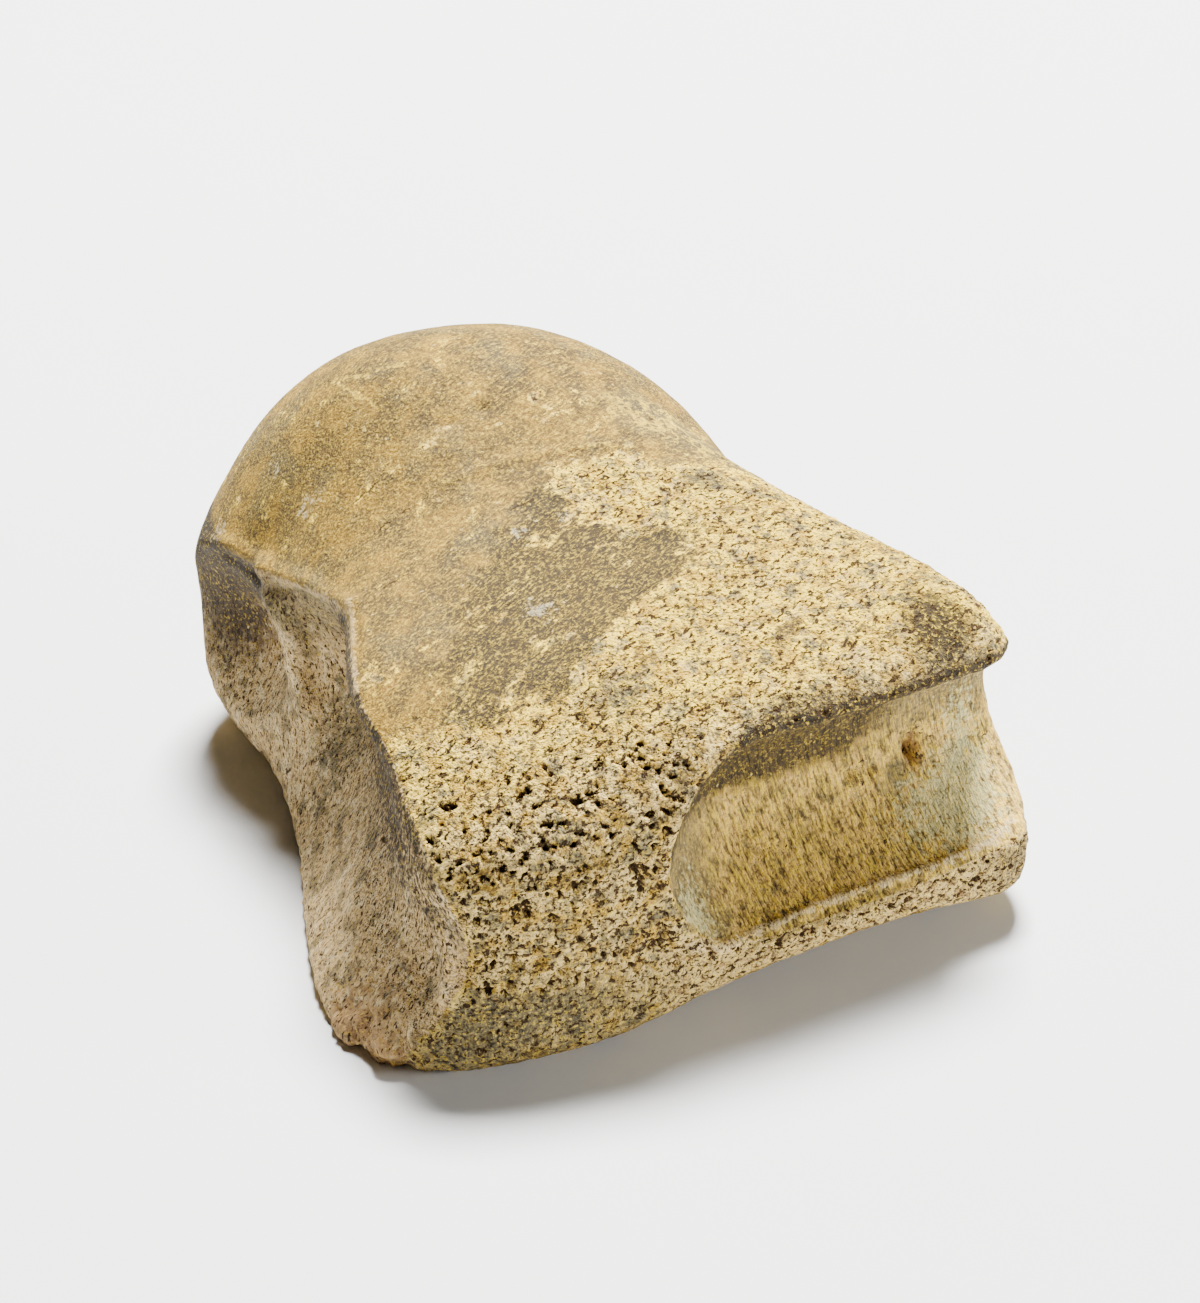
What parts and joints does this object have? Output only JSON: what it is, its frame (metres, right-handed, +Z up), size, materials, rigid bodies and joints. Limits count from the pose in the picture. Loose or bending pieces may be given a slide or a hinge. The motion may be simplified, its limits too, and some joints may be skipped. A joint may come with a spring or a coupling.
{
  "type": "fossil dinosaur toe bone",
  "caption": "Fossil toe bone with a broad cupped end, a round knuckle, a sharp side crest and ligament pits, lying on its underside.",
  "frame": {"origin": "on the surface that the bone lies on, under the middle of its length and width", "axes": "+Y from the cupped near end to the knuckle, +Z up from the flat underside, +X to the right as seen from the cupped end"},
  "size_m": [0.1016, 0.1147, 0.0641],
  "materials": {
    "fossil_bone": "matte"
  },
  "bodies": {
    "root": {"toe_bone": "fossil_bone"}
  },
  "joints": []
}
